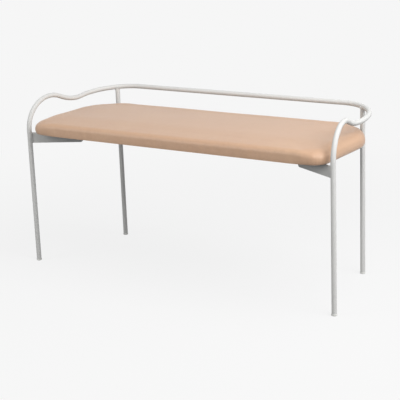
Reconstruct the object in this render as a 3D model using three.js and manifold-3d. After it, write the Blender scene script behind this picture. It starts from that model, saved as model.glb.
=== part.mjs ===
// Hotel luggage bench: a bent steel tube frame that carries an upholstered seat on four brackets.
// Millimetres, +Z up. The origin is on the floor, at the middle of the bench's length and depth.
import * as THREE from 'three';
import { mergeVertices } from 'three/addons/utils/BufferGeometryUtils.js';
import Module from 'manifold-3d';

const wasm = await Module();
wasm.setup();

// Clearance between pieces that touch or are welded together
const FIT_GAP = 0.3;

// Layout on the floor
const OVERALL_DEPTH = 416;
const FRONT_LEG_SPACING = 1085;
const FRONT_LEG_SETBACK = 25;
const REAR_LEG_INSET = 86;

// Frame tube
const TUBE_DIAMETER = 15;
const TUBE_WALL = 1.5;

// Bends of an arm, given where the axes of neighbouring straight runs cross
const ARM_RISE_ABOVE_SEAT = 108.6;
const ARM_DIP_INSET = 29.5;
const ARM_DIP_BEHIND_LEG = 185;
const ARM_DIP_DROP = 79;
const REAR_CORNER_INSET = 19.5;
const BACK_RAIL_DROP = 58;
const FRONT_BEND_RADIUS = 97;
const DIP_BEND_RADIUS = 178;
const REAR_BEND_RADIUS = 136;

// Butt joints of the back rail, each carried by a sleeve inside the tubes
const SLEEVE_LENGTH = 70;
const SLEEVE_WALL = 1.5;

// Trim of the thin horns at the top of a rear leg's saddle cut
const SADDLE_TRIM = 2;

// Foot glides
const GLIDE_DIAMETER = 17;
const GLIDE_HEIGHT = 5;
const GLIDE_CHAMFER = 1;
const GLIDE_STEM_LENGTH = 18;
const GLIDE_STEM_TAPER = 1.5;

// Seat brackets: a web on edge, welded to a leg, with a flange under the seat
const BRACKET_TOP_HEIGHT = 429;
const BRACKET_LENGTH = 172;
const BRACKET_ANGLE = THREE.MathUtils.degToRad(28);
const PLATE_THICKNESS = 3;
const WEB_HEIGHT = 34;
const WEB_CORNER_RADIUS = 8;
const FLANGE_WIDTH = 30;
const FLANGE_LENGTH = 98;
const FLANGE_CORNER_RADIUS = 8;
const SCREW_LINE_OFFSET = 15;
const SCREW_END_MARGIN = 20;
const SCREW_PITCH = 46;

// Seat: leather over foam on a plywood board, closed below by a dust cover
const SEAT_END_GAP = 20.5;
const SEAT_RAIL_GAP = 25;
const SEAT_THICKNESS = 44;
const SEAT_FRONT_CORNER_RADIUS = 48;
const SEAT_REAR_CORNER_RADIUS = 140;
const SEAT_ROLL_WIDTH = 40;
const SEAT_ROLL_HEIGHT = 26;
const LEATHER_THICKNESS = 1.2;
const HEM_WIDTH = 22;
const BOARD_THICKNESS = 12;
const DUST_COVER_THICKNESS = 0.8;
const DUST_COVER_INSET = 9;

// Seat fasteners
const SCREW_DIAMETER = 6;
const SCREW_HEAD_DIAMETER = 10.5;
const SCREW_HEAD_HEIGHT = 3.3;
const SCREW_HEAD_FLAT_DIAMETER = 7;
const SOCKET_WIDTH = 4;
const SOCKET_DEPTH = 2;
const SOCKET_SIDES = 6;
const WASHER_DIAMETER = 14;
const WASHER_THICKNESS = 1.2;
const TEE_NUT_BARREL_DIAMETER = 8.4;
const TEE_NUT_BARREL_LENGTH = 9;
const TEE_NUT_FLANGE_DIAMETER = 19;
const TEE_NUT_FLANGE_THICKNESS = 1.3;
const SCREW_TIP_DEPTH = 1;

// Fineness of the curves
const TUBE_SIDES = 14;
const FASTENER_SIDES = 12;
const GLIDE_SIDES = 16;
const BEND_STEP = THREE.MathUtils.degToRad(10);
const OUTLINE_SEGMENTS = 4;
const ROLL_SEGMENTS = 4;

// Places that follow from the sizes above
const frontEdgeY = -OVERALL_DEPTH / 2;
const frontLegX = FRONT_LEG_SPACING / 2;
const seatLength = FRONT_LEG_SPACING - 2 * SEAT_END_GAP;
const seatDepth = OVERALL_DEPTH - TUBE_DIAMETER - SEAT_RAIL_GAP;
const tubeRadius = TUBE_DIAMETER / 2;
const boreRadius = tubeRadius - TUBE_WALL;
const railY = OVERALL_DEPTH / 2 - tubeRadius;
const frontLegY = frontEdgeY + FRONT_LEG_SETBACK;
const legBottom = GLIDE_HEIGHT + FIT_GAP;
const flangeBottom = BRACKET_TOP_HEIGHT - PLATE_THICKNESS;
const flangeStart = BRACKET_LENGTH - FLANGE_LENGTH;
const lastScrewDistance = BRACKET_LENGTH - SCREW_END_MARGIN;
const dustCoverBottom = BRACKET_TOP_HEIGHT + FIT_GAP;
const seatBottom = dustCoverBottom + DUST_COVER_THICKNESS + FIT_GAP;
const seatTop = seatBottom + SEAT_THICKNESS;
const armTop = seatTop + ARM_RISE_ABOVE_SEAT;
const railHeight = armTop - BACK_RAIL_DROP;
const boardBottom = seatBottom + LEATHER_THICKNESS + FIT_GAP;
const boardTop = boardBottom + BOARD_THICKNESS;
const foamBottom = boardTop + FIT_GAP;
const paddingInset = LEATHER_THICKNESS + FIT_GAP;
const screwHoleRadius = SCREW_DIAMETER / 2 + FIT_GAP;
const teeNutTop = boardTop + FIT_GAP + TEE_NUT_FLANGE_THICKNESS;

const powderCoat = { color: 0xe4e4e2, roughness: 0.42, metalness: 0.1 };
const zincPlate = { color: 0xb9bcc0, roughness: 0.35, metalness: 0.9 };
const nylon = { color: 0xd5d5d2, roughness: 0.55, metalness: 0 };
const leather = { color: 0xdcb795, roughness: 0.55, metalness: 0 };
const polyether = { color: 0xe9dfb9, roughness: 0.95, metalness: 0 };
const plywood = { color: 0xc9a777, roughness: 0.75, metalness: 0 };
const cambric = { color: 0x2e2c2b, roughness: 0.95, metalness: 0 };

// A tube's route: straight runs joined by round bends, with stations only where it turns.
class BentRoute extends THREE.Curve {
  constructor(corners, radii) {
    super();
    const directions = corners.slice(1).map((end, i) => end.clone().sub(corners[i]).normalize());
    const lengths = corners.slice(1).map((end, i) => end.distanceTo(corners[i]));
    const turns = radii.map((_, i) => directions[i].angleTo(directions[i + 1]));
    const setbacks = radii.map((radius, i) => radius * Math.tan(turns[i] / 2));
    const room = setbacks.map((setback, i) => {
      const before = lengths[i] / (setback + (setbacks[i - 1] ?? 0));
      const after = lengths[i + 1] / (setback + (setbacks[i + 1] ?? 0));
      return Math.min(1, before, after);
    });
    this.bendEnds = [];
    this.stations = [{ point: corners[0], tangent: directions[0] }];
    radii.forEach((radius, i) => this.addBend(corners[i + 1], directions[i], directions[i + 1],
      turns[i], radius * room[i], setbacks[i] * room[i]));
    this.stations.push({ point: corners.at(-1), tangent: directions.at(-1) });
    this.steps = this.stations.length - 1;
  }

  addBend(corner, incoming, outgoing, turn, radius, setback) {
    const start = corner.clone().addScaledVector(incoming, -setback);
    const inward = outgoing.clone().addScaledVector(incoming, -Math.cos(turn)).normalize();
    const centre = start.clone().addScaledVector(inward, radius);
    const count = Math.ceil(turn / BEND_STEP);
    for (let i = 0; i <= count; i += 1) {
      const angle = turn * i / count;
      const point = centre.clone()
        .addScaledVector(inward, -radius * Math.cos(angle))
        .addScaledVector(incoming, radius * Math.sin(angle));
      const tangent = incoming.clone().multiplyScalar(Math.cos(angle))
        .addScaledVector(inward, Math.sin(angle));
      this.stations.push({ point, tangent });
    }
    this.bendEnds.push(this.stations.at(-1).point);
  }

  getPointAt(u) {
    return this.stations[Math.round(u * this.steps)].point.clone();
  }

  getTangentAt(u) {
    return this.stations[Math.round(u * this.steps)].tangent.clone();
  }

  // The point furthest along the route that lies at a given distance from the bench's middle
  pointAtSpread(halfSpread) {
    const last = this.stations.findLastIndex(({ point }) => Math.abs(point.x) >= halfSpread);
    const from = this.stations[last].point;
    const to = this.stations[last + 1].point;
    const share = (Math.abs(from.x) - halfSpread) / (Math.abs(from.x) - Math.abs(to.x));
    return from.clone().lerp(to, share);
  }
}

function toManifold(geometry) {
  const bare = geometry.clone();
  bare.deleteAttribute('normal');
  bare.deleteAttribute('uv');
  const merged = mergeVertices(bare);
  const corners = merged.index.array;
  const triangles = [];
  for (let i = 0; i < corners.length; i += 3) {
    const [a, b, c] = [corners[i], corners[i + 1], corners[i + 2]];
    if (a !== b && b !== c && c !== a) triangles.push(a, b, c);
  }
  const mesh = new wasm.Mesh({
    numProp: 3,
    vertProperties: new Float32Array(merged.attributes.position.array),
    triVerts: new Uint32Array(triangles),
  });
  return new wasm.Manifold(mesh);
}

function toGeometry(manifold) {
  const { vertProperties, triVerts } = manifold.getMesh();
  const geometry = new THREE.BufferGeometry();
  geometry.setAttribute('position', new THREE.BufferAttribute(new Float32Array(vertProperties), 3));
  geometry.setIndex(new THREE.BufferAttribute(new Uint32Array(triVerts), 1));
  geometry.computeVertexNormals();
  return geometry;
}

function cut(geometry, ...tools) {
  const body = tools.reduce((left, tool) => left.subtract(toManifold(tool)), toManifold(geometry));
  return toGeometry(body);
}

function join(first, second) {
  return toGeometry(toManifold(first).add(toManifold(second)));
}

function circle(radius, sides) {
  const points = [];
  for (let i = 0; i < sides; i += 1) {
    const angle = 2 * Math.PI * i / sides;
    points.push(new THREE.Vector2(radius * Math.cos(angle), radius * Math.sin(angle)));
  }
  return new THREE.Shape(points);
}

function ring(outerRadius, innerRadius, sides) {
  const section = circle(outerRadius, sides);
  section.holes.push(new THREE.Path(circle(innerRadius, sides).getPoints()));
  return section;
}

function sweep(section, route) {
  return new THREE.ExtrudeGeometry(section, { extrudePath: route, steps: route.steps, curveSegments: 1 });
}

function rise(shape, bottom, top) {
  const options = { depth: top - bottom, bevelEnabled: false, curveSegments: OUTLINE_SEGMENTS };
  return new THREE.ExtrudeGeometry(shape, options).translate(0, 0, bottom);
}

function post(radius, bottom, top, sides, x = 0, y = 0) {
  return rise(circle(radius, sides), bottom, top).translate(x, y, 0);
}

function turned(profile, sides) {
  const points = profile.map(([radius, height]) => new THREE.Vector2(radius, height));
  return new THREE.LatheGeometry(points, sides).rotateX(Math.PI / 2);
}

// Bent tubes of the hoop: front leg, arm and rear corner in one piece on each side
function armCorners(side, endX) {
  const dipX = frontLegX - ARM_DIP_INSET;
  const dipY = frontLegY + ARM_DIP_BEHIND_LEG;
  return [
    new THREE.Vector3(side * frontLegX, frontLegY, legBottom),
    new THREE.Vector3(side * frontLegX, frontLegY, armTop),
    new THREE.Vector3(side * dipX, dipY, armTop - ARM_DIP_DROP),
    new THREE.Vector3(side * (frontLegX - REAR_CORNER_INSET), railY, railHeight),
    new THREE.Vector3(side * endX, railY, railHeight),
  ];
}

function armRoute(side, endX) {
  return new BentRoute(armCorners(side, endX), [FRONT_BEND_RADIUS, DIP_BEND_RADIUS, REAR_BEND_RADIUS]);
}

const tubeSection = ring(tubeRadius, boreRadius, TUBE_SIDES);
const halfHoop = armRoute(1, 0);
const jointX = halfHoop.bendEnds.at(-1).x - SLEEVE_LENGTH / 2 - FIT_GAP;
const rearLegTop = halfHoop.pointAtSpread(frontLegX - REAR_LEG_INSET);

function armTube(side) {
  return sweep(tubeSection, armRoute(side, jointX + FIT_GAP));
}

function straightAlongX(section, fromX, toX) {
  const start = new THREE.Vector3(fromX, railY, railHeight);
  const end = new THREE.Vector3(toX, railY, railHeight);
  return sweep(section, new BentRoute([start, end], []));
}

function railSleeve(side) {
  const outerRadius = boreRadius - FIT_GAP;
  const section = ring(outerRadius, outerRadius - SLEEVE_WALL, TUBE_SIDES);
  return straightAlongX(section, side * jointX - SLEEVE_LENGTH / 2, side * jointX + SLEEVE_LENGTH / 2);
}

// Rear leg: a straight tube with a saddle cut, so that the rail lies in its top
function rearLeg(side) {
  const leg = rise(tubeSection, legBottom, rearLegTop.z - SADDLE_TRIM);
  leg.translate(side * rearLegTop.x, rearLegTop.y, 0);
  const rail = sweep(circle(tubeRadius + FIT_GAP, TUBE_SIDES), armRoute(side, 0));
  return cut(leg, rail);
}

function footGlide() {
  const stemRadius = boreRadius - FIT_GAP;
  const stemTop = GLIDE_HEIGHT + GLIDE_STEM_LENGTH;
  const flangeRadius = GLIDE_DIAMETER / 2;
  return turned([
    [0, 0],
    [flangeRadius - GLIDE_CHAMFER, 0],
    [flangeRadius, GLIDE_CHAMFER],
    [flangeRadius, GLIDE_HEIGHT],
    [stemRadius, GLIDE_HEIGHT],
    [stemRadius, stemTop - GLIDE_STEM_TAPER],
    [stemRadius - GLIDE_STEM_TAPER, stemTop],
    [0, stemTop],
  ], GLIDE_SIDES);
}

// Bracket in its own frame: the leg's axis is the origin and the web runs along +X.
const screwDistances = [lastScrewDistance - SCREW_PITCH, lastScrewDistance];

function webOutline() {
  const outline = new THREE.Shape();
  const bottom = BRACKET_TOP_HEIGHT - WEB_HEIGHT;
  outline.moveTo(0, bottom);
  outline.lineTo(BRACKET_LENGTH - WEB_CORNER_RADIUS, bottom);
  outline.absarc(BRACKET_LENGTH - WEB_CORNER_RADIUS, bottom + WEB_CORNER_RADIUS, WEB_CORNER_RADIUS,
    -Math.PI / 2, 0);
  outline.lineTo(BRACKET_LENGTH, BRACKET_TOP_HEIGHT);
  outline.lineTo(0, BRACKET_TOP_HEIGHT);
  outline.closePath();
  return outline;
}

function flangeOutline(side) {
  const root = -side * PLATE_THICKNESS / 2;
  const edge = root + side * FLANGE_WIDTH;
  const inner = edge - side * FLANGE_CORNER_RADIUS;
  const outline = new THREE.Shape();
  outline.moveTo(flangeStart, root);
  outline.lineTo(flangeStart, inner);
  outline.quadraticCurveTo(flangeStart, edge, flangeStart + FLANGE_CORNER_RADIUS, edge);
  outline.lineTo(BRACKET_LENGTH - FLANGE_CORNER_RADIUS, edge);
  outline.quadraticCurveTo(BRACKET_LENGTH, edge, BRACKET_LENGTH, inner);
  outline.lineTo(BRACKET_LENGTH, root);
  outline.closePath();
  return outline;
}

function seatBracket(side) {
  const webOptions = { depth: PLATE_THICKNESS, bevelEnabled: false, curveSegments: OUTLINE_SEGMENTS };
  const web = new THREE.ExtrudeGeometry(webOutline(), webOptions)
    .translate(0, 0, -PLATE_THICKNESS / 2)
    .rotateX(Math.PI / 2);
  const flange = rise(flangeOutline(side), flangeBottom, BRACKET_TOP_HEIGHT);
  const legClearance = post(tubeRadius + FIT_GAP, 0, armTop, TUBE_SIDES);
  const holes = screwDistances.map((distance) => post(screwHoleRadius, flangeBottom - FIT_GAP,
    BRACKET_TOP_HEIGHT + FIT_GAP, FASTENER_SIDES, distance, side * SCREW_LINE_OFFSET));
  return cut(join(web, flange), legClearance, ...holes);
}

// Each bracket's leg, the way it points and the side that its flange is on
const brackets = [
  { name: 'front_left', x: -frontLegX, y: frontLegY, heading: BRACKET_ANGLE, side: 1 },
  { name: 'front_right', x: frontLegX, y: frontLegY, heading: Math.PI - BRACKET_ANGLE, side: -1 },
  { name: 'rear_left', x: -rearLegTop.x, y: rearLegTop.y, heading: -BRACKET_ANGLE, side: -1 },
  { name: 'rear_right', x: rearLegTop.x, y: rearLegTop.y, heading: Math.PI + BRACKET_ANGLE, side: 1 },
];

const screwPlaces = brackets.flatMap(({ name, x, y, heading, side }) => screwDistances.map((distance, i) => {
  const offset = new THREE.Vector2(distance, side * SCREW_LINE_OFFSET)
    .rotateAround(new THREE.Vector2(), heading);
  return { name: `${name}_${i + 1}`, x: x + offset.x, y: y + offset.y };
}));

function holesAtScrews(radius, bottom, top) {
  return screwPlaces.map(({ x, y }) => post(radius, bottom, top, FASTENER_SIDES, x, y));
}

// Seat plan: a straight front edge with small corners, and a back edge with wide round corners
function seatPlan(inset) {
  const halfLength = seatLength / 2 - inset;
  const front = frontEdgeY + inset;
  const back = frontEdgeY + seatDepth - inset;
  const frontRadius = SEAT_FRONT_CORNER_RADIUS - inset;
  const rearRadius = SEAT_REAR_CORNER_RADIUS - inset;
  const outline = new THREE.Shape();
  outline.moveTo(frontRadius - halfLength, front);
  outline.absarc(halfLength - frontRadius, front + frontRadius, frontRadius, -Math.PI / 2, 0);
  outline.absarc(halfLength - rearRadius, back - rearRadius, rearRadius, 0, Math.PI / 2);
  outline.absarc(rearRadius - halfLength, back - rearRadius, rearRadius, Math.PI / 2, Math.PI);
  outline.absarc(frontRadius - halfLength, front + frontRadius, frontRadius, Math.PI, 1.5 * Math.PI);
  return outline;
}

// A pad with upright sides and a rolled top edge, cut flat at the bottom
function rolledPad(inset, bottom, top) {
  const rollWidth = SEAT_ROLL_WIDTH - inset;
  const rollHeight = SEAT_ROLL_HEIGHT - inset;
  const pad = new THREE.ExtrudeGeometry(seatPlan(inset + rollWidth), {
    depth: top - bottom - rollHeight,
    bevelThickness: rollHeight,
    bevelSize: rollWidth,
    bevelSegments: ROLL_SEGMENTS,
    curveSegments: OUTLINE_SEGMENTS,
  }).translate(0, 0, bottom);
  const trim = new THREE.BoxGeometry(2 * seatLength, 2 * seatDepth, 2 * rollHeight);
  return cut(pad, trim.translate(0, 0, bottom - rollHeight));
}

function seatCover() {
  const skin = rolledPad(0, seatBottom, seatTop);
  const hollow = rolledPad(LEATHER_THICKNESS, seatBottom + LEATHER_THICKNESS, seatTop - LEATHER_THICKNESS);
  const mouth = rise(seatPlan(HEM_WIDTH), seatBottom - FIT_GAP, boardBottom);
  return cut(skin, hollow, mouth, ...holesAtScrews(screwHoleRadius, seatBottom - FIT_GAP, boardBottom));
}

function seatFoam() {
  const pad = rolledPad(paddingInset, foamBottom, seatTop - paddingInset);
  const pocketRadius = TEE_NUT_FLANGE_DIAMETER / 2 + FIT_GAP;
  return cut(pad, ...holesAtScrews(pocketRadius, boardTop, teeNutTop + FIT_GAP));
}

function seatBoard() {
  const board = rise(seatPlan(paddingInset), boardBottom, boardTop);
  const holeRadius = TEE_NUT_BARREL_DIAMETER / 2 + FIT_GAP;
  return cut(board, ...holesAtScrews(holeRadius, boardBottom - FIT_GAP, boardTop + FIT_GAP));
}

function dustCover() {
  const top = dustCoverBottom + DUST_COVER_THICKNESS;
  const sheet = rise(seatPlan(DUST_COVER_INSET), dustCoverBottom, top);
  return cut(sheet, ...holesAtScrews(screwHoleRadius, dustCoverBottom - FIT_GAP, top + FIT_GAP));
}

// Fasteners in their own frame: the axis is +Z and heights are those in the bench.
const washerTop = flangeBottom - FIT_GAP;
const washerBottom = washerTop - WASHER_THICKNESS;
const headTop = washerBottom - FIT_GAP;
const headBottom = headTop - SCREW_HEAD_HEIGHT;

function seatScrew() {
  const headRadius = SCREW_HEAD_DIAMETER / 2;
  const shankRadius = SCREW_DIAMETER / 2;
  const screwTip = boardTop - SCREW_TIP_DEPTH;
  const screw = turned([
    [0, headBottom],
    [SCREW_HEAD_FLAT_DIAMETER / 2, headBottom],
    [headRadius, headTop],
    [shankRadius, headTop],
    [shankRadius, screwTip],
    [0, screwTip],
  ], FASTENER_SIDES);
  const socketRadius = SOCKET_WIDTH / (2 * Math.cos(Math.PI / SOCKET_SIDES));
  const socket = post(socketRadius, headBottom - FIT_GAP, headBottom + SOCKET_DEPTH, SOCKET_SIDES);
  return cut(screw, socket);
}

function washer() {
  return rise(ring(WASHER_DIAMETER / 2, screwHoleRadius, FASTENER_SIDES), washerBottom, washerTop);
}

function teeNut() {
  const flangeSeat = boardTop + FIT_GAP;
  const barrelRadius = TEE_NUT_BARREL_DIAMETER / 2;
  const barrelBottom = flangeSeat - TEE_NUT_BARREL_LENGTH;
  const flangeRadius = TEE_NUT_FLANGE_DIAMETER / 2;
  return turned([
    [screwHoleRadius, barrelBottom],
    [barrelRadius, barrelBottom],
    [barrelRadius, flangeSeat],
    [flangeRadius, flangeSeat],
    [flangeRadius, teeNutTop],
    [screwHoleRadius, teeNutTop],
    [screwHoleRadius, barrelBottom],
  ], FASTENER_SIDES);
}

const bench = new THREE.Group();

function add(name, geometry, finish, x = 0, y = 0, heading = 0) {
  const mesh = new THREE.Mesh(geometry, new THREE.MeshStandardMaterial(finish));
  mesh.name = name;
  mesh.position.set(x, y, 0);
  mesh.rotation.z = heading;
  bench.add(mesh);
}

for (const [name, side] of [['left', -1], ['right', 1]]) {
  add(`arm_tube_${name}`, armTube(side), powderCoat);
  add(`rail_sleeve_${name}`, railSleeve(side), zincPlate);
  add(`rear_leg_${name}`, rearLeg(side), powderCoat);
}
add('back_rail', straightAlongX(tubeSection, -jointX, jointX), powderCoat);

for (const { name, x, y, heading, side } of brackets) {
  add(`foot_glide_${name}`, footGlide(), nylon, x, y);
  add(`seat_bracket_${name}`, seatBracket(side), powderCoat, x, y, heading);
}

add('seat_board', seatBoard(), plywood);
add('seat_foam', seatFoam(), polyether);
add('seat_cover', seatCover(), leather);
add('dust_cover', dustCover(), cambric);

for (const { name, x, y } of screwPlaces) {
  add(`seat_screw_${name}`, seatScrew(), zincPlate, x, y);
  add(`washer_${name}`, washer(), zincPlate, x, y);
  add(`tee_nut_${name}`, teeNut(), zincPlate, x, y);
}

export default bench;
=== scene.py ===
"""Looks of a hotel luggage bench: a bent tube frame, plate brackets and a leather seat."""

import math

import bmesh
import bpy
from mathutils import Matrix, Vector, noise


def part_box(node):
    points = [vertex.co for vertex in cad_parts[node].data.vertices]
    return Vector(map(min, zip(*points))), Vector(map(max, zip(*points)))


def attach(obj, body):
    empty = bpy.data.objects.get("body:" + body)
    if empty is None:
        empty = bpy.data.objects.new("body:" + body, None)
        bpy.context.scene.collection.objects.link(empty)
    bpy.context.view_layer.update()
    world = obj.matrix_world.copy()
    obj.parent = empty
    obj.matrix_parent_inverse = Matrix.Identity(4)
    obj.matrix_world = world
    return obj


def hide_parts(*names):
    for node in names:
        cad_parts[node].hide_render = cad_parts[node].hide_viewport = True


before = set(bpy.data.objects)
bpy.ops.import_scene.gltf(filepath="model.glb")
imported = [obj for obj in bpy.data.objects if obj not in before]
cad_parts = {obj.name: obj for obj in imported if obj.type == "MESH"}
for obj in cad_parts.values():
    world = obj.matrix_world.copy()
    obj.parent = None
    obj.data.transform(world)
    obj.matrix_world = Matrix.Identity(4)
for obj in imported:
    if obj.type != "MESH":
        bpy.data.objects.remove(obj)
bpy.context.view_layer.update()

# Sizes in metres, as the solids have them
TUBE_RADIUS = 0.0075
TUBE_WALL = 0.0015
LEG_BOTTOM = 0.0053
FRONT_LEG = Vector((0.5425, -0.183, 0.0))
ARM_TOP = 0.583
ARM_DIP = Vector((0.513, 0.002, 0.504))
REAR_CORNER = Vector((0.523, 0.2005, 0.525))
BENDS = (0.097, 0.178, 0.136)
BRACKET_ANGLE = math.radians(28)
BRACKET_LENGTH = 0.172
BRACKET_TOP = 0.429
WEB_HEIGHT = 0.034
PLATE = 0.003
PLATE_CORNER = 0.008
FLANGE_START = 0.074
FLANGE_WIDTH = 0.030
SEAT_HALF_LENGTH = 0.522
SEAT_FRONT = -0.208
SEAT_BACK = 0.168
SEAT_BOTTOM = 0.4304
SEAT_TOP = 0.4744
FRONT_CORNER = 0.048
REAR_CORNER_ROUND = 0.140
ROLL_WIDTH = 0.040
ROLL_HEIGHT = 0.026
CORNERS = ("front_left", "front_right", "rear_left", "rear_right")

# Finer sizes, of this dressing alone
FOLD_FILLET = 0.0025
BROKEN_EDGE = 0.0005
FRONT_ROLL = 0.017
BOARD_INSET = 0.0045
FOAM_INSET = 0.004
CLOTH_INSET = 0.009

# Fineness of the curves
TUBE_SIDES = 32
BEND_STEP = math.radians(4)
PLAN_SEGMENTS = 14
ROLL_SEGMENTS = 12
LEATHER_VOXEL = 0.0065

# Two places closer than this are the same
NEAR = 1e-5


def begin():
    """Nothing is selected and no mesh is being edited."""
    if bpy.context.object and bpy.context.object.mode != "OBJECT":
        bpy.ops.object.mode_set(mode="OBJECT")
    bpy.ops.object.select_all(action="DESELECT")


def only(piece):
    """Makes one piece the selected and active one."""
    begin()
    piece.select_set(True)
    bpy.context.view_layer.objects.active = piece


def edit(piece):
    only(piece)
    bpy.ops.object.mode_set(mode="EDIT")


def choose(kind, test):
    """Selects the points, edges or faces of the edited mesh that pass a test."""
    bpy.ops.mesh.select_mode(type=kind)
    bpy.ops.mesh.select_all(action="DESELECT")
    mesh = bmesh.from_edit_mesh(bpy.context.object.data)
    for part in {"VERT": mesh.verts, "EDGE": mesh.edges, "FACE": mesh.faces}[kind]:
        if test(part):
            part.select_set(True)
    mesh.select_flush_mode()
    bmesh.update_edit_mesh(bpy.context.object.data)


def middle(edge):
    return (edge.verts[0].co + edge.verts[1].co) / 2


def along(edge, axis):
    run = (edge.verts[1].co - edge.verts[0].co).normalized()
    return abs(run[axis]) > 0.999


def at_height(edge, height):
    return all(abs(vertex.co.z - height) < NEAR for vertex in edge.verts)


def apply_modifier(piece, kind, **settings):
    only(piece)
    modifier = piece.modifiers.new(kind.lower(), kind)
    for name, value in settings.items():
        setattr(modifier, name, value)
    bpy.ops.object.modifier_apply(modifier=modifier.name)


def settle(piece, smooth_angle=40):
    """Puts the piece's place into its mesh, closes its seams and turns its faces outwards."""
    only(piece)
    bpy.ops.object.transform_apply(location=True, rotation=True, scale=True)
    edit(piece)
    bpy.ops.mesh.select_all(action="SELECT")
    bpy.ops.mesh.remove_doubles(threshold=1e-6)
    bpy.ops.mesh.normals_make_consistent(inside=False)
    begin()
    only(piece)
    bpy.ops.object.shade_smooth_by_angle(angle=math.radians(smooth_angle))


def copy_of(piece, name):
    twin = piece.copy()
    twin.data = piece.data.copy()
    twin.name = name
    bpy.context.scene.collection.objects.link(twin)
    return twin


def joined(name, pieces):
    """One piece made of several."""
    begin()
    for piece in pieces:
        piece.select_set(True)
    bpy.context.view_layer.objects.active = pieces[0]
    bpy.ops.object.join()
    pieces[0].name = name
    return pieces[0]


def dress(piece, material, replaces=()):
    """Gives a finished piece its material and its place in the frame."""
    piece.data.materials.clear()
    piece.data.materials.append(material)
    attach(piece, "root")
    if replaces:
        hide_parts(*replaces)
    return piece


def linear(code):
    """An sRGB hex colour as linear RGBA."""
    channels = [int(code[i:i + 2], 16) / 255 for i in (1, 3, 5)]
    return [c / 12.92 if c <= 0.04045 else ((c + 0.055) / 1.055) ** 2.4 for c in channels] + [1.0]


def node(tree, kind, inputs=None, **settings):
    """Adds a node. An input is a value, or another node's socket to link."""
    made = tree.nodes.new(kind)
    for name, value in settings.items():
        setattr(made, name, value)
    for name, value in (inputs or {}).items():
        if isinstance(value, bpy.types.NodeSocket):
            tree.links.new(value, made.inputs[name])
        else:
            made.inputs[name].default_value = value
    return made


def blank(name):
    """A new material with its shader, and the Object coordinates its patterns read."""
    material = bpy.data.materials.new(name)
    material.use_nodes = True
    tree = material.node_tree
    shader = tree.nodes["Principled BSDF"]
    place = node(tree, "ShaderNodeTexCoord").outputs["Object"]
    return material, tree, shader, place


def powder_coat():
    # Polyester powder baked on steel: satin white with a fine orange peel. The peel is 2 mm across,
    # drawn at 4 mm so that it shows.
    material, tree, shader, place = blank("white_powder_coat")
    cloud = node(tree, "ShaderNodeTexNoise", {"Vector": place, "Scale": 1 / 0.09, "Detail": 3.0})
    tint = node(tree, "ShaderNodeMix", {0: cloud.outputs["Fac"], 6: linear("#D1D1CF"), 7: linear("#D7D7D5")},
                data_type="RGBA")
    tree.links.new(tint.outputs[2], shader.inputs["Base Color"])
    gloss = node(tree, "ShaderNodeMapRange", {"Value": cloud.outputs["Fac"], "To Min": 0.58, "To Max": 0.68})
    tree.links.new(gloss.outputs["Result"], shader.inputs["Roughness"])
    shader.inputs["Specular IOR Level"].default_value = 0.25
    peel = node(tree, "ShaderNodeTexNoise", {"Vector": place, "Scale": 1 / 0.004, "Detail": 1.0})
    bump = node(tree, "ShaderNodeBump", {"Height": peel.outputs["Fac"], "Strength": 0.25, "Distance": 0.0003})
    tree.links.new(bump.outputs["Normal"], shader.inputs["Normal"])
    return material


def leather():
    # Semi-aniline cowhide, drum-dyed and tumbled: a soft tan with cloudy dye, a fine pebble grain and
    # a few faint creases. The grain is 1.5 mm across, drawn at 3 mm so that it shows.
    material, tree, shader, place = blank("tan_semi_aniline_leather")
    dye = node(tree, "ShaderNodeTexNoise", {"Vector": place, "Scale": 1 / 0.12, "Detail": 4.0, "Roughness": 0.6})
    cloud = node(tree, "ShaderNodeMix", {0: dye.outputs["Fac"], 6: linear("#C69E81"), 7: linear("#D1AE90")},
                 data_type="RGBA")
    drift = node(tree, "ShaderNodeTexNoise", {"Vector": place, "Scale": 1 / 0.02, "Detail": 2.0})
    bent = node(tree, "ShaderNodeMix", {0: 0.002, 4: place, 5: drift.outputs["Color"]}, data_type="VECTOR")
    grain = node(tree, "ShaderNodeTexVoronoi", {"Vector": bent.outputs[1], "Scale": 1 / 0.003},
                 feature="DISTANCE_TO_EDGE")
    valley = node(tree, "ShaderNodeMapRange", {"Value": grain.outputs["Distance"], "From Max": 0.25},
                  interpolation_type="SMOOTHSTEP")
    # Painted shade: the colour is darkened to 0.88 in the grain's valleys, where shade falls.
    painted_valley_shade = node(tree, "ShaderNodeMapRange", {"Value": valley.outputs["Result"], "To Min": 0.88, "To Max": 1.0})
    shaded = node(tree, "ShaderNodeMix", {0: 1.0, 6: cloud.outputs[2], 7: painted_valley_shade.outputs["Result"]},
                  data_type="RGBA", blend_type="MULTIPLY")
    tree.links.new(shaded.outputs[2], shader.inputs["Base Color"])
    crease = node(tree, "ShaderNodeTexNoise", {"Vector": place, "Scale": 1 / 0.03, "Detail": 5.0,
                                               "Roughness": 0.65})
    low = node(tree, "ShaderNodeBump", {"Height": crease.outputs["Fac"], "Strength": 0.35, "Distance": 0.002})
    fine = node(tree, "ShaderNodeBump", {"Height": valley.outputs["Result"], "Strength": 0.4, "Distance": 0.0003,
                                         "Normal": low.outputs["Normal"]})
    tree.links.new(fine.outputs["Normal"], shader.inputs["Normal"])
    gloss = node(tree, "ShaderNodeMapRange", {"Value": dye.outputs["Fac"], "To Min": 0.42, "To Max": 0.52})
    tree.links.new(gloss.outputs["Result"], shader.inputs["Roughness"])
    shader.inputs["Sheen Weight"].default_value = 0.25
    shader.inputs["Sheen Roughness"].default_value = 0.4
    return material


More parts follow.
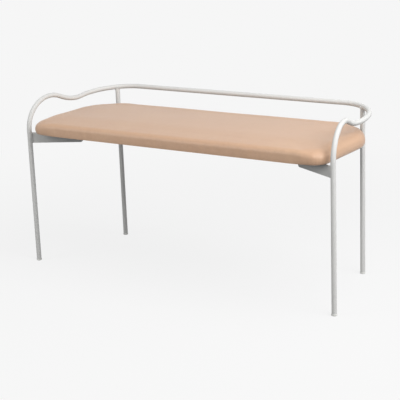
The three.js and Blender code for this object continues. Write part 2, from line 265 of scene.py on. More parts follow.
def nylon():
    # Injection-moulded nylon 6: off-white, waxy, with a faint spark-eroded texture of 1 mm.
    material, tree, shader, place = blank("moulded_nylon")
    spark = node(tree, "ShaderNodeTexNoise", {"Vector": place, "Scale": 1 / 0.001, "Detail": 2.0})
    scuff = node(tree, "ShaderNodeTexNoise", {"Vector": place, "Scale": 1 / 0.006, "Detail": 3.0})
    tint = node(tree, "ShaderNodeMix", {0: scuff.outputs["Fac"], 6: linear("#D2D2CE"), 7: linear("#E2E2DE")},
                data_type="RGBA")
    tree.links.new(tint.outputs[2], shader.inputs["Base Color"])
    gloss = node(tree, "ShaderNodeMapRange", {"Value": scuff.outputs["Fac"], "To Min": 0.45, "To Max": 0.65})
    tree.links.new(gloss.outputs["Result"], shader.inputs["Roughness"])
    bump = node(tree, "ShaderNodeBump", {"Height": spark.outputs["Fac"], "Strength": 0.2, "Distance": 0.0001})
    tree.links.new(bump.outputs["Normal"], shader.inputs["Normal"])
    shader.inputs["IOR"].default_value = 1.53
    return material


def zinc_plate():
    # Steel with bright zinc plate: pale blue-grey metal with cloudy passivation.
    material, tree, shader, place = blank("bright_zinc_plate")
    cloud = node(tree, "ShaderNodeTexNoise", {"Vector": place, "Scale": 1 / 0.004, "Detail": 4.0})
    tint = node(tree, "ShaderNodeMix", {0: cloud.outputs["Fac"], 6: linear("#AEB3B9"), 7: linear("#CFD0CB")},
                data_type="RGBA")
    tree.links.new(tint.outputs[2], shader.inputs["Base Color"])
    gloss = node(tree, "ShaderNodeMapRange", {"Value": cloud.outputs["Fac"], "To Min": 0.25, "To Max": 0.42})
    tree.links.new(gloss.outputs["Result"], shader.inputs["Roughness"])
    shader.inputs["Metallic"].default_value = 1.0
    return material


def cambric():
    # Spun-bonded polypropylene dust cloth: matt black, with the 2.5 mm grid of points that bond its fibres.
    material, tree, shader, place = blank("black_dust_cloth")
    fibre = node(tree, "ShaderNodeTexNoise", {"Vector": place, "Scale": 1 / 0.004, "Detail": 6.0,
                                              "Roughness": 0.8})
    tint = node(tree, "ShaderNodeMix", {0: fibre.outputs["Fac"], 6: linear("#1E1D1C"), 7: linear("#3C3A38")},
                data_type="RGBA")
    tree.links.new(tint.outputs[2], shader.inputs["Base Color"])
    dots = node(tree, "ShaderNodeTexVoronoi", {"Vector": place, "Scale": 1 / 0.0025, "Randomness": 0.0})
    bond = node(tree, "ShaderNodeMapRange", {"Value": dots.outputs["Distance"], "From Min": 0.2, "From Max": 0.35})
    slack = node(tree, "ShaderNodeTexNoise", {"Vector": place, "Scale": 1 / 0.11, "Detail": 2.0})
    low = node(tree, "ShaderNodeBump", {"Height": slack.outputs["Fac"], "Strength": 0.5, "Distance": 0.006})
    fine = node(tree, "ShaderNodeBump", {"Height": bond.outputs["Result"], "Strength": 0.5, "Distance": 0.0003,
                                         "Normal": low.outputs["Normal"]})
    tree.links.new(fine.outputs["Normal"], shader.inputs["Normal"])
    shader.inputs["Roughness"].default_value = 0.92
    return material


def plywood():
    # Sanded birch plywood: pale straw with long grain along the board.
    material, tree, shader, place = blank("birch_plywood")
    run = node(tree, "ShaderNodeMapping", {"Vector": place, "Scale": (1 / 0.25, 1 / 0.006, 1 / 0.0015)})
    grain = node(tree, "ShaderNodeTexNoise", {"Vector": run.outputs["Vector"], "Scale": 1.0, "Detail": 5.0})
    tint = node(tree, "ShaderNodeMix", {0: grain.outputs["Fac"], 6: linear("#B98F5C"), 7: linear("#DDBB8A")},
                data_type="RGBA")
    tree.links.new(tint.outputs[2], shader.inputs["Base Color"])
    bump = node(tree, "ShaderNodeBump", {"Height": grain.outputs["Fac"], "Strength": 0.2, "Distance": 0.0004})
    tree.links.new(bump.outputs["Normal"], shader.inputs["Normal"])
    shader.inputs["Roughness"].default_value = 0.7
    return material


def polyether():
    # Cut polyether foam: pale yellow, matt, open cells about 1 mm across, drawn at 1.5 mm so that they show.
    material, tree, shader, place = blank("polyether_foam")
    cells = node(tree, "ShaderNodeTexVoronoi", {"Vector": place, "Scale": 1 / 0.0015})
    tint = node(tree, "ShaderNodeMix", {0: cells.outputs["Distance"], 6: linear("#EFE3B5"), 7: linear("#C9B77E")},
                data_type="RGBA")
    tree.links.new(tint.outputs[2], shader.inputs["Base Color"])
    bump = node(tree, "ShaderNodeBump", {"Height": cells.outputs["Distance"], "Strength": 0.6, "Distance": 0.0005})
    tree.links.new(bump.outputs["Normal"], shader.inputs["Normal"])
    shader.inputs["Roughness"].default_value = 0.95
    return material


COAT = powder_coat()
LEATHER = leather()
NYLON = nylon()
ZINC = zinc_plate()
CLOTH = cambric()
PLYWOOD = plywood()
FOAM = polyether()


def turned(name, rings, sides):
    """A turned solid: a disc drawn up through rings of (radius, height)."""
    begin()
    radius, height = rings[0]
    bpy.ops.mesh.primitive_circle_add(vertices=sides, radius=radius, fill_type="NGON", location=(0, 0, height))
    piece = bpy.context.object
    piece.name = name
    edit(piece)
    bpy.ops.mesh.select_all(action="SELECT")
    for wider, higher in rings[1:]:
        bpy.ops.mesh.extrude_region_move(TRANSFORM_OT_translate={"value": (0, 0, higher - height)})
        share = wider / radius
        bpy.ops.transform.resize(value=(share, share, 1), center_override=(0, 0, higher))
        radius, height = wider, higher
    settle(piece, 35)
    return piece


def bent_tube(name, corners, radii):
    """A tube drawn from a ring: pushed out along each straight run and spun round each bend."""
    begin()
    heading = (corners[1] - corners[0]).to_track_quat("Z", "Y").to_euler()
    bpy.ops.mesh.primitive_circle_add(vertices=TUBE_SIDES, radius=TUBE_RADIUS, location=corners[0],
                                      rotation=heading)
    tube = bpy.context.object
    tube.name = name
    edit(tube)
    bpy.ops.mesh.select_all(action="SELECT")
    here = corners[0]
    for before, corner, after, radius in zip(corners, corners[1:], corners[2:], radii):
        incoming = (corner - before).normalized()
        outgoing = (after - corner).normalized()
        turn = incoming.angle(outgoing)
        setback = radius * math.tan(turn / 2)
        start = corner - incoming * setback
        inward = (outgoing - incoming * math.cos(turn)).normalized()
        bpy.ops.mesh.extrude_region_move(TRANSFORM_OT_translate={"value": start - here})
        bpy.ops.mesh.spin(steps=math.ceil(turn / BEND_STEP), angle=turn, center=start + inward * radius,
                          axis=outgoing.cross(incoming))
        here = corner + outgoing * setback
    bpy.ops.mesh.extrude_region_move(TRANSFORM_OT_translate={"value": corners[-1] - here})
    settle(tube, 60)
    return tube


def hoop_corners():
    return [
        Vector((FRONT_LEG.x, FRONT_LEG.y, LEG_BOTTOM)),
        Vector((FRONT_LEG.x, FRONT_LEG.y, ARM_TOP)),
        ARM_DIP,
        REAR_CORNER,
        Vector((0, REAR_CORNER.y, REAR_CORNER.z)),
    ]


def hoop():
    """Front legs, arms and back rail: one half is bent, then mirrored, and given its wall."""
    tube = bent_tube("hoop_tube", hoop_corners(), BENDS)
    apply_modifier(tube, "MIRROR", merge_threshold=NEAR)
    settle(tube, 60)
    apply_modifier(tube, "SOLIDIFY", thickness=TUBE_WALL, offset=-1)
    settle(tube, 60)
    return tube


def hoop_line():
    """Points along the axis of the right rear corner and the rail."""
    _, _, dip, corner, end = hoop_corners()
    incoming = (corner - dip).normalized()
    outgoing = (end - corner).normalized()
    turn = incoming.angle(outgoing)
    radius = BENDS[2]
    steps = 400
    start = corner - incoming * radius * math.tan(turn / 2)
    inward = (outgoing - incoming * math.cos(turn)).normalized()
    centre = start + inward * radius
    return [centre - inward * radius * math.cos(turn * i / steps) + incoming * radius * math.sin(turn * i / steps)
            for i in range(steps + 1)]


HOOP_LINE = hoop_line()


def hoop_underside(x, y):
    """Height of the hoop's lower surface over a point near the right rear leg."""
    near = min(HOOP_LINE, key=lambda point: (point.x - x) ** 2 + (point.y - y) ** 2)
    aside = math.hypot(near.x - x, near.y - y)
    return near.z - math.sqrt(max(TUBE_RADIUS ** 2 - aside ** 2, 0))


def rear_leg(foot):
    """A straight tube whose top is cut to a saddle under the hoop."""
    begin()
    bpy.ops.mesh.primitive_circle_add(vertices=TUBE_SIDES, radius=TUBE_RADIUS,
                                      location=(foot.x, foot.y, LEG_BOTTOM))
    leg = bpy.context.object
    leg.name = "rear_leg_right_tube"
    edit(leg)
    bpy.ops.mesh.select_all(action="SELECT")
    bpy.ops.mesh.extrude_region_move(TRANSFORM_OT_translate={"value": (0, 0, BRACKET_TOP)})
    settle(leg, 60)
    for vertex in leg.data.vertices:
        if vertex.co.z > BRACKET_TOP:
            vertex.co.z = hoop_underside(vertex.co.x, vertex.co.y)
    apply_modifier(leg, "SOLIDIFY", thickness=TUBE_WALL, offset=-1)
    settle(leg, 60)
    return leg


def saddle_weld(foot):
    """The fillet weld round the top of a rear leg, under the coat."""
    thickness, ripple_height, ripples, sunk = 0.0017, 0.12, 24, 0.0006
    begin()
    bpy.ops.mesh.primitive_torus_add(major_radius=TUBE_RADIUS, minor_radius=thickness, major_segments=72,
                                     minor_segments=12, location=(foot.x, foot.y, 0))
    bead = bpy.context.object
    bead.name = "rear_leg_weld_right"
    settle(bead, 60)
    for vertex in bead.data.vertices:
        angle = math.atan2(vertex.co.y - foot.y, vertex.co.x - foot.x)
        x = foot.x + TUBE_RADIUS * math.cos(angle)
        y = foot.y + TUBE_RADIUS * math.sin(angle)
        ripple = 1 + ripple_height * math.cos(ripples * angle)
        vertex.co.z = vertex.co.z * ripple + hoop_underside(x, y) - sunk
    return bead


def mirrored(piece, name):
    """The same piece on the bench's left side."""
    twin = copy_of(piece, name)
    twin.scale.x = -1
    settle(twin, 60)
    return twin


def bracket():
    """A plate on edge along +X from the leg's axis, with a flange on its +Y side to carry the seat."""
    begin()
    start = TUBE_RADIUS - PLATE / 10
    bottom = BRACKET_TOP - WEB_HEIGHT
    bpy.ops.mesh.primitive_cube_add(
        size=1, location=((start + BRACKET_LENGTH) / 2, 0, (bottom + BRACKET_TOP) / 2),
        scale=(BRACKET_LENGTH - start, PLATE, WEB_HEIGHT))
    plate = bpy.context.object
    plate.name = "seat_bracket_plate"
    bpy.ops.object.transform_apply(location=True, rotation=True, scale=True)
    edit(plate)
    choose("EDGE", lambda e: along(e, 1) and middle(e).x > BRACKET_LENGTH - NEAR and middle(e).z < bottom + NEAR)
    bpy.ops.mesh.bevel(offset=PLATE_CORNER, segments=10, affect="EDGES")
    for cut_at, normal in (((FLANGE_START, 0, 0), (1, 0, 0)), ((0, 0, BRACKET_TOP - PLATE), (0, 0, 1))):
        bpy.ops.mesh.select_all(action="SELECT")
        bpy.ops.mesh.bisect(plane_co=cut_at, plane_no=normal)
    choose("FACE", lambda f: f.normal.y > 0.9 and f.calc_center_median().x > FLANGE_START
           and f.calc_center_median().z > BRACKET_TOP - PLATE)
    bpy.ops.mesh.extrude_region_move(TRANSFORM_OT_translate={"value": (0, FLANGE_WIDTH - PLATE, 0)})
    choose("EDGE", lambda e: along(e, 2) and middle(e).y > FLANGE_WIDTH / 2)
    bpy.ops.mesh.bevel(offset=PLATE_CORNER, segments=8, affect="EDGES")
    choose("EDGE", lambda e: along(e, 0) and abs(middle(e).y - PLATE / 2) < NEAR
           and abs(middle(e).z - BRACKET_TOP + PLATE) < NEAR and middle(e).x > FLANGE_START)
    bpy.ops.mesh.bevel(offset=FOLD_FILLET, segments=4, affect="EDGES")
    begin()
    apply_modifier(plate, "BEVEL", width=BROKEN_EDGE, segments=2, limit_method="ANGLE",
                   angle_limit=math.radians(50))
    settle(plate, 35)
    return plate


def bracket_weld():
    """A fillet weld of small overlapping beads up one side of the plate where it meets the leg."""
    begin()
    margin, steps, start_radius = 0.001, 20, 0.0008
    widen, narrow, swell_out, thin_in = 2.2, 0.36, 1.12, 1 / 1.12
    side = PLATE / 2 + BROKEN_EDGE
    height = BRACKET_TOP - WEB_HEIGHT + margin
    pitch = (WEB_HEIGHT - 2 * margin) / steps
    bpy.ops.mesh.primitive_circle_add(vertices=12, radius=start_radius, fill_type="NGON",
                                      location=(TUBE_RADIUS, side, height))
    bead = bpy.context.object
    bead.name = "bracket_weld"
    edit(bead)
    bpy.ops.mesh.select_all(action="SELECT")
    for step in range(steps):
        share = swell_out if step % 2 else thin_in
        if step == 0:
            share = widen
        elif step == steps - 1:
            share = narrow
        bpy.ops.mesh.extrude_region_move(TRANSFORM_OT_translate={"value": (0, 0, pitch)})
        bpy.ops.transform.resize(value=(share, share, 1),
                                 center_override=(TUBE_RADIUS, side, height + pitch * (step + 1)))
    settle(bead, 60)
    return bead


def glide():
    """A foot glide: a rounded flange under the tube and a tapered plug inside it."""
    clearance = 0.0003
    plug = TUBE_RADIUS - TUBE_WALL - clearance
    return turned("foot_glide", [
        (0.0062, 0.0), (0.0072, 0.00012), (0.0080, 0.0006), (0.0084, 0.0013), (0.0085, 0.0021), (0.0085, 0.0043),
        (0.0083, 0.0048), (0.0079, 0.0050), (plug, 0.0050), (plug, 0.0215), (plug - 0.0015, 0.023)], 48)


def socket_screw(low, high):
    """A button-head screw, head down, with its hexagon socket."""
    head_height, socket_radius, socket_depth = 0.0033, 0.00231, 0.002
    head = low + head_height
    screw = turned("seat_screw_body", [
        (0.0034, low), (0.0040, low + 0.0003), (0.0046, low + 0.0009), (0.0050, low + 0.0018),
        (0.00525, low + 0.0029), (0.0052, head), (0.0030, head), (0.0030, high - 0.0008), (0.0024, high)], 36)
    begin()
    bpy.ops.mesh.primitive_cylinder_add(vertices=6, radius=socket_radius, depth=2 * socket_depth,
                                        location=(0, 0, low))
    hexagon = bpy.context.object
    apply_modifier(screw, "BOOLEAN", operation="DIFFERENCE", object=hexagon, solver="EXACT")
    bpy.data.objects.remove(hexagon)
    settle(screw, 35)
    return screw


def flat_washer(low, high):
    """A punched washer: a ring with broken outer edges."""
    inner, outer, edge = 0.0033, 0.0070, 0.0002
    begin()
    bpy.ops.mesh.primitive_circle_add(vertices=48, radius=inner, location=(0, 0, low))
    ring = bpy.context.object
    ring.name = "washer_ring"
    edit(ring)
    bpy.ops.mesh.select_all(action="SELECT")
    radius, height = inner, low
    for wider, higher in ((outer - edge, low), (outer, low + edge), (outer, high - edge), (outer - edge, high),
                          (inner, high), (inner, low)):
        bpy.ops.mesh.extrude_region_move(TRANSFORM_OT_translate={"value": (0, 0, higher - height)})
        bpy.ops.transform.resize(value=(wider / radius, wider / radius, 1), center_override=(0, 0, higher))
        radius, height = wider, higher
    settle(ring, 35)
    return ring


def seat_plan(name, inset, bottom, top):
    """A slab with the seat's plan: small round corners in front and wide ones behind."""
    begin()
    front, back = SEAT_FRONT + inset, SEAT_BACK - inset
    bpy.ops.mesh.primitive_cube_add(
        size=1, location=(0, (front + back) / 2, (bottom + top) / 2),
        scale=(2 * (SEAT_HALF_LENGTH - inset), back - front, top - bottom))
    slab = bpy.context.object
    slab.name = name
    bpy.ops.object.transform_apply(location=True, rotation=True, scale=True)
    edit(slab)
    choose("EDGE", lambda e: along(e, 2) and middle(e).y < front + NEAR)
    bpy.ops.mesh.bevel(offset=FRONT_CORNER - inset, segments=PLAN_SEGMENTS, affect="EDGES")
    choose("EDGE", lambda e: along(e, 2) and middle(e).y > back - NEAR)
    bpy.ops.mesh.bevel(offset=REAR_CORNER_ROUND - inset, segments=2 * PLAN_SEGMENTS, affect="EDGES")
    return slab


def rolled_slab(name, inset, bottom, top):
    """A slab with the seat's plan and a wide, low roll from its sides to its top."""
    width, height = ROLL_WIDTH - inset, ROLL_HEIGHT - inset
    face_top = top - height
    slab = seat_plan(name, inset, bottom, face_top + width)
    choose("EDGE", lambda e: at_height(e, face_top + width))
    bpy.ops.mesh.bevel(offset=width, segments=ROLL_SEGMENTS, affect="EDGES")
    choose("VERT", lambda v: v.co.z > face_top - NEAR)
    bpy.ops.transform.resize(value=(1, 1, height / width), center_override=(0, 0, face_top))
    return slab


def inside(x, y):
    """How far a point of the plan lies inside the seat's outline."""
    middle_y, half_depth = (SEAT_FRONT + SEAT_BACK) / 2, (SEAT_BACK - SEAT_FRONT) / 2
    corner = FRONT_CORNER if y < middle_y else REAR_CORNER_ROUND
    over_x = abs(x) - SEAT_HALF_LENGTH + corner
    over_y = abs(y - middle_y) - half_depth + corner
    return corner - min(max(over_x, over_y), 0) - math.hypot(max(over_x, 0), max(over_y, 0))


def ease(value):
    """Runs smoothly from 0 to 1 as the value does."""
    value = min(1.0, max(0.0, value))
    return value * value * (3 - 2 * value)


def crown(pad):
    """The pad's top falls away towards the front edge, and is stuffed fuller along its back and, less, its ends."""
    fall, fall_width = 0.006, 0.12
    lift, lift_width, end_loss, end_width = 0.006, 0.06, 0.6, 0.1
    face_top = SEAT_TOP - ROLL_HEIGHT
    for vertex in pad.data.vertices:
        level = min(1.0, max(0.0, (vertex.co.z - face_top) / ROLL_HEIGHT))
        back = ease((vertex.co.y - SEAT_FRONT) / fall_width)
        edge = 1 - ease(inside(vertex.co.x, vertex.co.y) / lift_width)
        end = ease((abs(vertex.co.x) - SEAT_HALF_LENGTH + REAR_CORNER_ROUND) / end_width)
        vertex.co.z += level * (lift * back * edge * (1 - end_loss * end) - fall * (1 - back))


def arc(depth, width, height):
    """Height that a roll has won at a depth behind its face."""
    short = 1 - min(1.0, max(0.0, depth / width))
    return height * math.sqrt(1 - short * short)


def tighten(pad):
    """Between its ends the front edge is drawn round a tighter roll, so that its face stands taller."""
    end_margin, end_width = 0.015, 0.075
    face_top = SEAT_TOP - ROLL_HEIGHT
    taller = ROLL_HEIGHT - FRONT_ROLL
    for vertex in pad.data.vertices:
        x, y, z = vertex.co
        if y > SEAT_FRONT + ROLL_WIDTH or z < SEAT_BOTTOM:
            continue
        depth = inside(x, y)
        between = ease((SEAT_HALF_LENGTH - end_margin - abs(x)) / end_width)
        if z < face_top:
            rise = taller * (z - SEAT_BOTTOM) / (face_top - SEAT_BOTTOM)
        else:
            rise = taller + arc(depth, FRONT_ROLL, FRONT_ROLL) - arc(depth, ROLL_WIDTH, ROLL_HEIGHT)
        vertex.co.z += between * rise


def swell(pad, held_below, most):
    """Leather drawn over foam: the pad is blown up as a cloth that is held at its foot. The foam gives only
    so far, so every point keeps its share of the movement and the furthest one moves by most."""
    last_frame = 20
    rest = [vertex.co.copy() for vertex in pad.data.vertices]
    hem = pad.vertex_groups.new(name="hem")
    hem.add([i for i, point in enumerate(rest) if point.z < held_below], 1.0, "REPLACE")
    only(pad)
    cloth = pad.modifiers.new("leather", "CLOTH")
    cloth.settings.quality = 5
    cloth.settings.mass = 0.4
    cloth.settings.tension_stiffness = 25
    cloth.settings.compression_stiffness = 25
    cloth.settings.bending_stiffness = 2
    cloth.settings.use_pressure = True
    cloth.settings.uniform_pressure_force = 4
    cloth.settings.vertex_group_mass = hem.name
    cloth.settings.effector_weights.gravity = 0
    cloth.collision_settings.use_collision = False
    scene = bpy.context.scene
    for step in range(1, last_frame + 1):
        scene.frame_set(step)
    bpy.ops.object.modifier_apply(modifier=cloth.name)
    furthest = max((vertex.co - point).length for vertex, point in zip(pad.data.vertices, rest))
    share = min(1.0, most / furthest)
    for vertex, point in zip(pad.data.vertices, rest):
        vertex.co = point.lerp(vertex.co, share)
    scene.frame_set(1)


def pull_leather(pad):
    """Small pulls in the leather: gathers at the round corners, puckers along the front roll, and a lower edge
    that is tucked in under the board along the front and at the ends."""
    gather_depth, gathers, gather_drift = 0.0003, 26, 40
    pucker_depth, pucker_reach, pucker_fade = 0.0019, 0.04, 0.62
    pucker_pitch, fine_pitch, patch_pitch = 0.022, 0.009, 0.11
    slack_depth, slack_length, slack_width = 0.0009, 0.16, 0.1
    tuck_depth, tuck_height, front_share, front_reach, front_width = 0.0065, 0.016, 0.15, 0.06, 0.04
    pad.data.update()
    normals = [vertex.normal.copy() for vertex in pad.data.vertices]
    for vertex, normal in zip(pad.data.vertices, normals):
        x, y, z = vertex.co
        rise = (z - SEAT_BOTTOM) / (SEAT_TOP - SEAT_BOTTOM)
        side = max(0.0, 1 - abs(rise - 0.5) / pucker_fade)
        outward = math.hypot(normal.x, normal.y)
        corner_x = max(abs(x) - (SEAT_HALF_LENGTH - FRONT_CORNER), 0)
        corner_y = max(SEAT_FRONT + FRONT_CORNER - y, 0)
        gather = 0.0
        if corner_x > 0 and corner_y > 0:
            turn = math.atan2(corner_y, corner_x)
            fade = math.sin(2 * turn) * max(0.0, 1 - rise) * outward
            drift = noise.noise((x * gather_drift, y * gather_drift, 0))
            gather = gather_depth * fade * math.cos(turn * gathers + 2 * drift)
        pucker = 0.0
        if y < SEAT_FRONT + pucker_reach:
            wave = noise.noise((x / pucker_pitch, rise * 0.7, 3.0)) + 0.5 * noise.noise((x / fine_pitch, rise, 7.0))
            patch = 0.35 + 0.65 * max(0.0, noise.noise((x / patch_pitch, 0.0, 11.0)) + 0.3)
            pucker = pucker_depth * wave * patch * side
        slack = slack_depth * noise.noise((x / slack_length, y / slack_width, 1.0)) * max(normal.z, 0)
        vertex.co += normal * (gather + pucker + slack)
        end = ease((abs(x) - SEAT_HALF_LENGTH + REAR_CORNER_ROUND) / REAR_CORNER_ROUND)
        front = front_share * ease((SEAT_FRONT + front_reach - y) / front_width)
        depth = min(1.0, max(0.0, 1 - (z - SEAT_BOTTOM) / tuck_height))
        tuck = tuck_depth * max(end, front) * (1 - math.sqrt(1 - depth * depth))
        if outward > 0.3:
            vertex.co -= Vector((normal.x, normal.y, 0)) / outward * tuck


def seat_cushion():
    """The leather seat: a rolled slab, swelled as leather over foam, pulled at its edges and folded flat below."""
    spare, full, hem, most = 0.014, 0.001, 0.008, 0.004
    cushion = rolled_slab("leather_seat", 0.0, SEAT_BOTTOM - spare, SEAT_TOP + full)
    settle(cushion, 60)
    apply_modifier(cushion, "REMESH", mode="VOXEL", voxel_size=LEATHER_VOXEL)
    tighten(cushion)
    crown(cushion)
    swell(cushion, SEAT_BOTTOM + hem, most)
    apply_modifier(cushion, "SMOOTH", factor=0.5, iterations=1)
    apply_modifier(cushion, "SUBSURF", levels=1, render_levels=1)
    pull_leather(cushion)
    edit(cushion)
    bpy.ops.mesh.select_all(action="SELECT")
    bpy.ops.mesh.bisect(plane_co=(0, 0, SEAT_BOTTOM), plane_no=(0, 0, 1), clear_inner=True, use_fill=True)
    begin()
    only(cushion)
    bpy.ops.object.shade_smooth_by_angle(angle=math.radians(60))
    return cushion


def seat_board(low, high):
    """The plywood board: its arrises are eased so that they don't cut the leather."""
    arris = 0.0015
    board = seat_plan("plywood_board", BOARD_INSET, low, high)
    choose("EDGE", lambda e: at_height(e, low) or at_height(e, high))
    bpy.ops.mesh.bevel(offset=arris, segments=3, affect="EDGES")
    settle(board, 35)
    return board


def foam_core(low, high):
    """The foam pad between board and leather, with its top edge shaved round. The leather presses it down."""
    pressed = 0.008
    foam = rolled_slab("foam_core", FOAM_INSET, low, high - pressed)
    settle(foam, 35)
    return foam


def dust_cloth(low, high):
    """The cloth under the seat, with its folded edge."""
    fold, step_width, step_depth = 0.012, 0.0004, 0.0002
    cloth = seat_plan("dust_cloth", CLOTH_INSET, low, high)
    choose("FACE", lambda f: abs(f.normal.z) > 0.9)
    bpy.ops.mesh.inset(thickness=fold, depth=0)
    bpy.ops.mesh.inset(thickness=step_width, depth=-step_depth)
    begin()
    settle(cloth, 30)
    return cloth


def outline_runs(inset):
    """The lines and quarter turns of the seat's plan from the middle of the front edge, each with its length."""
    half = SEAT_HALF_LENGTH - inset
    depth = SEAT_BACK - SEAT_FRONT - 2 * inset
    small, wide = FRONT_CORNER - inset, REAR_CORNER_ROUND - inset
    runs = [("line", half - small), ("arc", small), ("line", depth - small - wide), ("arc", wide),
            ("line", 2 * (half - wide)), ("arc", wide), ("line", depth - small - wide), ("arc", small),
            ("line", half - small)]
    return [(kind, size, size if kind == "line" else size * math.pi / 2) for kind, size in runs]


def outline_point(distance, inset):
    """A point on the seat's plan, and the way along it, going round from the middle of the front edge."""
    place, heading = Vector((0, SEAT_FRONT + inset)), 0.0
    for kind, size, length in outline_runs(inset):
        step = min(distance, length)
        ahead = Vector((math.cos(heading), math.sin(heading)))
        if kind == "line":
            place = place + ahead * step
        else:
            left = Vector((-ahead.y, ahead.x))
            turn = step / size
            place = place + ahead * size * math.sin(turn) + left * size * (1 - math.cos(turn))
            heading += turn
        distance -= step
        if distance <= 0:
            break
    return place, heading


def staples(low, brackets_at):
    """Wire staples along the dust cloth's fold, left out over the brackets. Each is a bent wire of a few faces."""
    crown_size, sunk, bend_radius = (0.010, 0.0011, 0.0006), 0.0002, 0.0004
    inset, pitch, bracket_room = 0.016, 0.036, 0.036
    begin()
    bpy.ops.mesh.primitive_cube_add(size=1, location=(0, 0, low - sunk), scale=crown_size)
    staple = bpy.context.object
    bpy.ops.object.transform_apply(location=True, rotation=True, scale=True)
    edit(staple)
    choose("EDGE", lambda e: along(e, 1) and middle(e).z < low - sunk)
    bpy.ops.mesh.bevel(offset=bend_radius, segments=2, affect="EDGES")
    begin()
    row = []
    way_round = sum(length for _, _, length in outline_runs(inset))
    for i in range(int(way_round / pitch)):
        place, heading = outline_point((i + 0.5) * pitch, inset)
        offsets = [(place - foot, way) for foot, way in brackets_at]
        if any(off.length < BRACKET_LENGTH and abs(off.cross(way)) < bracket_room and off.dot(way) > 0
               for off, way in offsets):
            continue
        wire = copy_of(staple, f"staple_{i}")
        wire.matrix_world = Matrix.Translation((place.x, place.y, 0)) @ Matrix.Rotation(heading, 4, "Z")
        row.append(wire)
    bpy.data.objects.remove(staple)
    made = joined("cloth_staples", row)
    settle(made, 30)
    return made


def middle_of(name):
    low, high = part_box(name)
    return (low + high) / 2


# The tube frame
dress(hoop(), COAT, ("arm_tube_left", "arm_tube_right", "back_rail"))
rear_foot = middle_of("foot_glide_rear_right")
leg = rear_leg(rear_foot)
dress(mirrored(leg, "rear_leg_left_tube"), COAT, ("rear_leg_left",))
dress(leg, COAT, ("rear_leg_right",))
weld = saddle_weld(rear_foot)
dress(mirrored(weld, "rear_leg_weld_left"), COAT)
dress(weld, COAT)

# Feet, brackets and their welds, made once and set at each leg
foot_glide = glide()
plate = bracket()
bead = bracket_weld()
bracket_lines = []
for corner in CORNERS:
    foot = middle_of(f"foot_glide_{corner}")
    right = -1 if corner.endswith("right") else 1
    rear = -1 if corner.startswith("rear") else 1
    shoe = copy_of(foot_glide, f"glide_{corner}")
    shoe.location = (foot.x, foot.y, 0)
    settle(shoe, 35)
    dress(shoe, NYLON, (f"foot_glide_{corner}",))
    stand = Matrix.Translation((foot.x, foot.y, 0)) @ Matrix.Diagonal((right, rear, 1, 1)) @ Matrix.Rotation(
        BRACKET_ANGLE, 4, "Z")
    arm = copy_of(plate, f"bracket_{corner}")
    arm.matrix_world = stand
    settle(arm, 35)
    dress(arm, COAT, (f"seat_bracket_{corner}",))
    beads = []
    for side in (1, -1):
        run = copy_of(bead, f"bead_{corner}_{side}")
        run.matrix_world = stand @ Matrix.Diagonal((1, side, 1, 1))
        settle(run, 60)
        beads.append(run)
    dress(joined(f"bracket_weld_{corner}", beads), COAT)
    bracket_lines.append((foot.xy, (stand.to_3x3() @ Vector((1, 0, 0))).xy))
for model in (foot_glide, plate, bead):
    bpy.data.objects.remove(model)

# Screws and washers under the flanges
low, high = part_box("seat_screw_front_left_1")
screw = socket_screw(low.z, high.z)
low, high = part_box("washer_front_left_1")
ring = flat_washer(low.z, high.z)
for corner in CORNERS:
    for i in (1, 2):
        spot = middle_of(f"seat_screw_{corner}_{i}")
        for model, node_name in ((screw, "seat_screw"), (ring, "washer")):
            piece = copy_of(model, f"{model.name}_{corner}_{i}")
            piece.location = (spot.x, spot.y, 0)
            settle(piece, 35)
            dress(piece, ZINC, (f"{node_name}_{corner}_{i}",))
for model in (screw, ring):
    bpy.data.objects.remove(model)

# The seat
dress(seat_cushion(), LEATHER, ("seat_cover",))
low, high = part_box("seat_board")
dress(seat_board(low.z, high.z), PLYWOOD, ("seat_board",))
low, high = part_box("seat_foam")
dress(foam_core(low.z, high.z), FOAM, ("seat_foam",))
low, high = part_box("dust_cover")
dress(dust_cloth(low.z, high.z), CLOTH, ("dust_cover",))
dress(staples(low.z, bracket_lines), ZINC)

# What stays hidden inside keeps its solid and gets its own finish
for name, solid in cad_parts.items():
    if name.startswith(("rail_sleeve", "tee_nut")):
        solid.data.materials.clear()
        solid.data.materials.append(ZINC)


def seen_rays(tree):
    """1 for the rays that show the background: to the camera, in gloss and through glass."""
    rays = node(tree, "ShaderNodeLightPath")
    seen = node(tree, "ShaderNodeMath", {0: rays.outputs["Is Camera Ray"], 1: rays.outputs["Is Glossy Ray"]},
                operation="MAXIMUM")
    seen = node(tree, "ShaderNodeMath", {0: seen.outputs[0], 1: rays.outputs["Is Transmission Ray"]},
                operation="MAXIMUM")
    return seen.outputs[0]


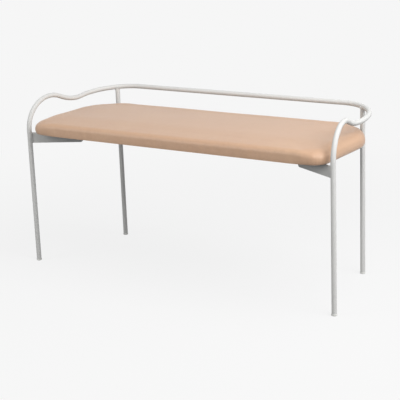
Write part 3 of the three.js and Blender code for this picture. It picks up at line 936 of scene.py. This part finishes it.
def studio_floor(pale):
    """A pale floor that keeps the bench's soft shadow and runs into the background."""
    begin()
    bpy.ops.mesh.primitive_plane_add(size=24)
    floor = bpy.context.object
    floor.name = "studio_floor"
    material = bpy.data.materials.new("pale_floor")
    material.use_nodes = True
    tree = material.node_tree
    tree.nodes.clear()
    seen = seen_rays(tree)
    place = node(tree, "ShaderNodeTexCoord").outputs["Object"]
    reach = node(tree, "ShaderNodeVectorMath", {0: place}, operation="LENGTH")
    fade = node(tree, "ShaderNodeMapRange", {"Value": reach.outputs["Value"], "From Min": 0.5, "From Max": 2.0},
                interpolation_type="SMOOTHSTEP")
    cover = node(tree, "ShaderNodeMapRange", {"Value": fade.outputs["Result"], "To Min": 0.88, "To Max": 1.0})
    share = node(tree, "ShaderNodeMath", {0: seen, 1: cover.outputs["Result"]}, operation="MULTIPLY")
    paint = node(tree, "ShaderNodeMix", {0: seen, 6: linear("#808080"), 7: linear("#E7E7E7")}, data_type="RGBA")
    matt = node(tree, "ShaderNodeBsdfDiffuse", {"Color": paint.outputs[2]})
    light = node(tree, "ShaderNodeMix", {0: fade.outputs["Result"], 6: linear("#F8F8F8"), 7: pale},
                 data_type="RGBA")
    glow = node(tree, "ShaderNodeEmission", {"Color": light.outputs[2], "Strength": 1.0})
    both = node(tree, "ShaderNodeMixShader", {0: share.outputs[0], 1: matt.outputs[0], 2: glow.outputs[0]})
    node(tree, "ShaderNodeOutputMaterial", {"Surface": both.outputs[0]})
    floor.data.materials.append(material)


def studio_world(pale):
    """A pale background, and a weaker even light on the bench."""
    world = bpy.data.worlds.new("studio_world")
    bpy.context.scene.world = world
    world.use_nodes = True
    tree = world.node_tree
    tree.nodes.clear()
    fill = node(tree, "ShaderNodeBackground", {"Color": linear("#FFFFFF"), "Strength": 0.245})
    back = node(tree, "ShaderNodeBackground", {"Color": pale, "Strength": 1.0})
    both = node(tree, "ShaderNodeMixShader", {0: seen_rays(tree), 1: fill.outputs[0], 2: back.outputs[0]})
    node(tree, "ShaderNodeOutputWorld", {"Surface": both.outputs[0]})


def softbox(name, place, width, height, power):
    """A soft rectangular lamp that points at the middle of the bench."""
    aim = Vector((0, 0, 0.4))
    light = bpy.data.lights.new(name, "AREA")
    light.shape = "RECTANGLE"
    light.size = width
    light.size_y = height
    light.energy = power
    lamp = bpy.data.objects.new(name, light)
    lamp.location = place
    lamp.rotation_euler = (aim - Vector(place)).to_track_quat("-Z", "Y").to_euler()
    bpy.context.scene.collection.objects.link(lamp)


def studio():
    """Soft light from the right, with weaker light from above and from the left."""
    pale = linear("#F6F6F6")
    studio_floor(pale)
    studio_world(pale)
    softbox("light_right", (2.75, -0.8, 2.2), 3.0, 1.6, 96)
    softbox("light_above", (1.3, 0.1, 2.7), 1.6, 1.6, 24)
    softbox("light_left_front", (-1.6, -2.4, 1.5), 1.4, 1.4, 32)


def camera():
    """The photograph's place: to the right of the bench's front, a little above the seat, with a long lens."""
    yaw, pitch, roll = math.radians(-33.989), math.radians(15.412), math.radians(-2.226)
    place = (1.9579, -2.9314, 1.1964)
    focal_pixels, frame_pixels, sensor_width = 1171.4, 400, 36
    ahead = Vector((math.sin(yaw) * math.cos(pitch), math.cos(yaw) * math.cos(pitch), -math.sin(pitch)))
    level = Vector((math.cos(yaw), -math.sin(yaw), 0))
    upright = level.cross(ahead)
    across = level * math.cos(roll) + upright * math.sin(roll)
    up = upright * math.cos(roll) - level * math.sin(roll)
    data = bpy.data.cameras.new("camera")
    data.sensor_width = sensor_width
    data.lens = focal_pixels / frame_pixels * sensor_width
    made = bpy.data.objects.new("camera", data)
    made.matrix_world = Matrix.Translation(place) @ Matrix((across, up, -ahead)).transposed().to_4x4()
    bpy.context.scene.collection.objects.link(made)
    bpy.context.scene.camera = made


studio()
camera()
bpy.context.scene.view_settings.view_transform = "Standard"
